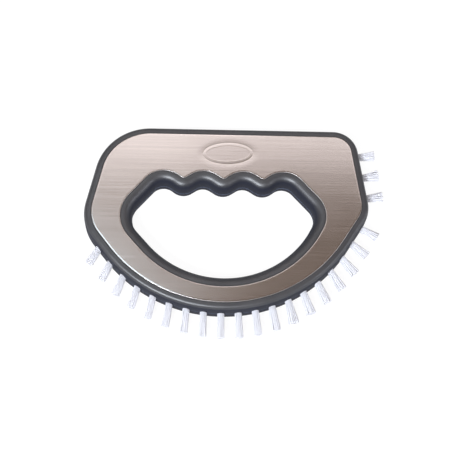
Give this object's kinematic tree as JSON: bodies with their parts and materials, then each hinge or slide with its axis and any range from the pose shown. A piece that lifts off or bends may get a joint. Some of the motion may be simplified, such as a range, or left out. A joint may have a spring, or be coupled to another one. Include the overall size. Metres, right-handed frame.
{
  "type": "grout brush",
  "caption": "Hand-held grout brush: a ring-shaped body with a steel face plate, soft rims, a finger-grooved hand opening and bristle tufts along its curved and straight edges.",
  "frame": {"origin": "middle of the whole brush seen from above, in the plane of its back face", "axes": "+Z out of the steel plate, +X along the body towards the straight bristled side, -Y towards the curved bristled edge"},
  "size_m": [0.169, 0.1218, 0.018],
  "materials": {
    "moulded_core": "fine satin moulding, near black",
    "steel_plate": "straight brushed grain along the plate",
    "adhesive": "thin dull film, hidden",
    "soft_rubber": "satin soft moulding, charcoal",
    "anchor_wire": "flat drawn wire, hidden",
    "bristle": "milky translucent filament"
  },
  "bodies": {
    "root": {"core": "moulded_core", "front_plate": "steel_plate", "plate_adhesive": "adhesive", "outer_bumper": "soft_rubber", "grip_liner": "soft_rubber", "anchor_staples": "anchor_wire", "tuft_01": "bristle", "tuft_02": "bristle", "tuft_03": "bristle", "tuft_04": "bristle", "tuft_05": "bristle", "tuft_06": "bristle", "tuft_07": "bristle", "tuft_08": "bristle", "tuft_09": "bristle", "tuft_10": "bristle", "tuft_11": "bristle", "tuft_12": "bristle", "tuft_13": "bristle", "tuft_14": "bristle", "tuft_15": "bristle", "tuft_16": "bristle", "tuft_17": "bristle", "tuft_18": "bristle", "tuft_19": "bristle", "tuft_20": "bristle", "tuft_21": "bristle", "tuft_22": "bristle"}
  },
  "joints": []
}
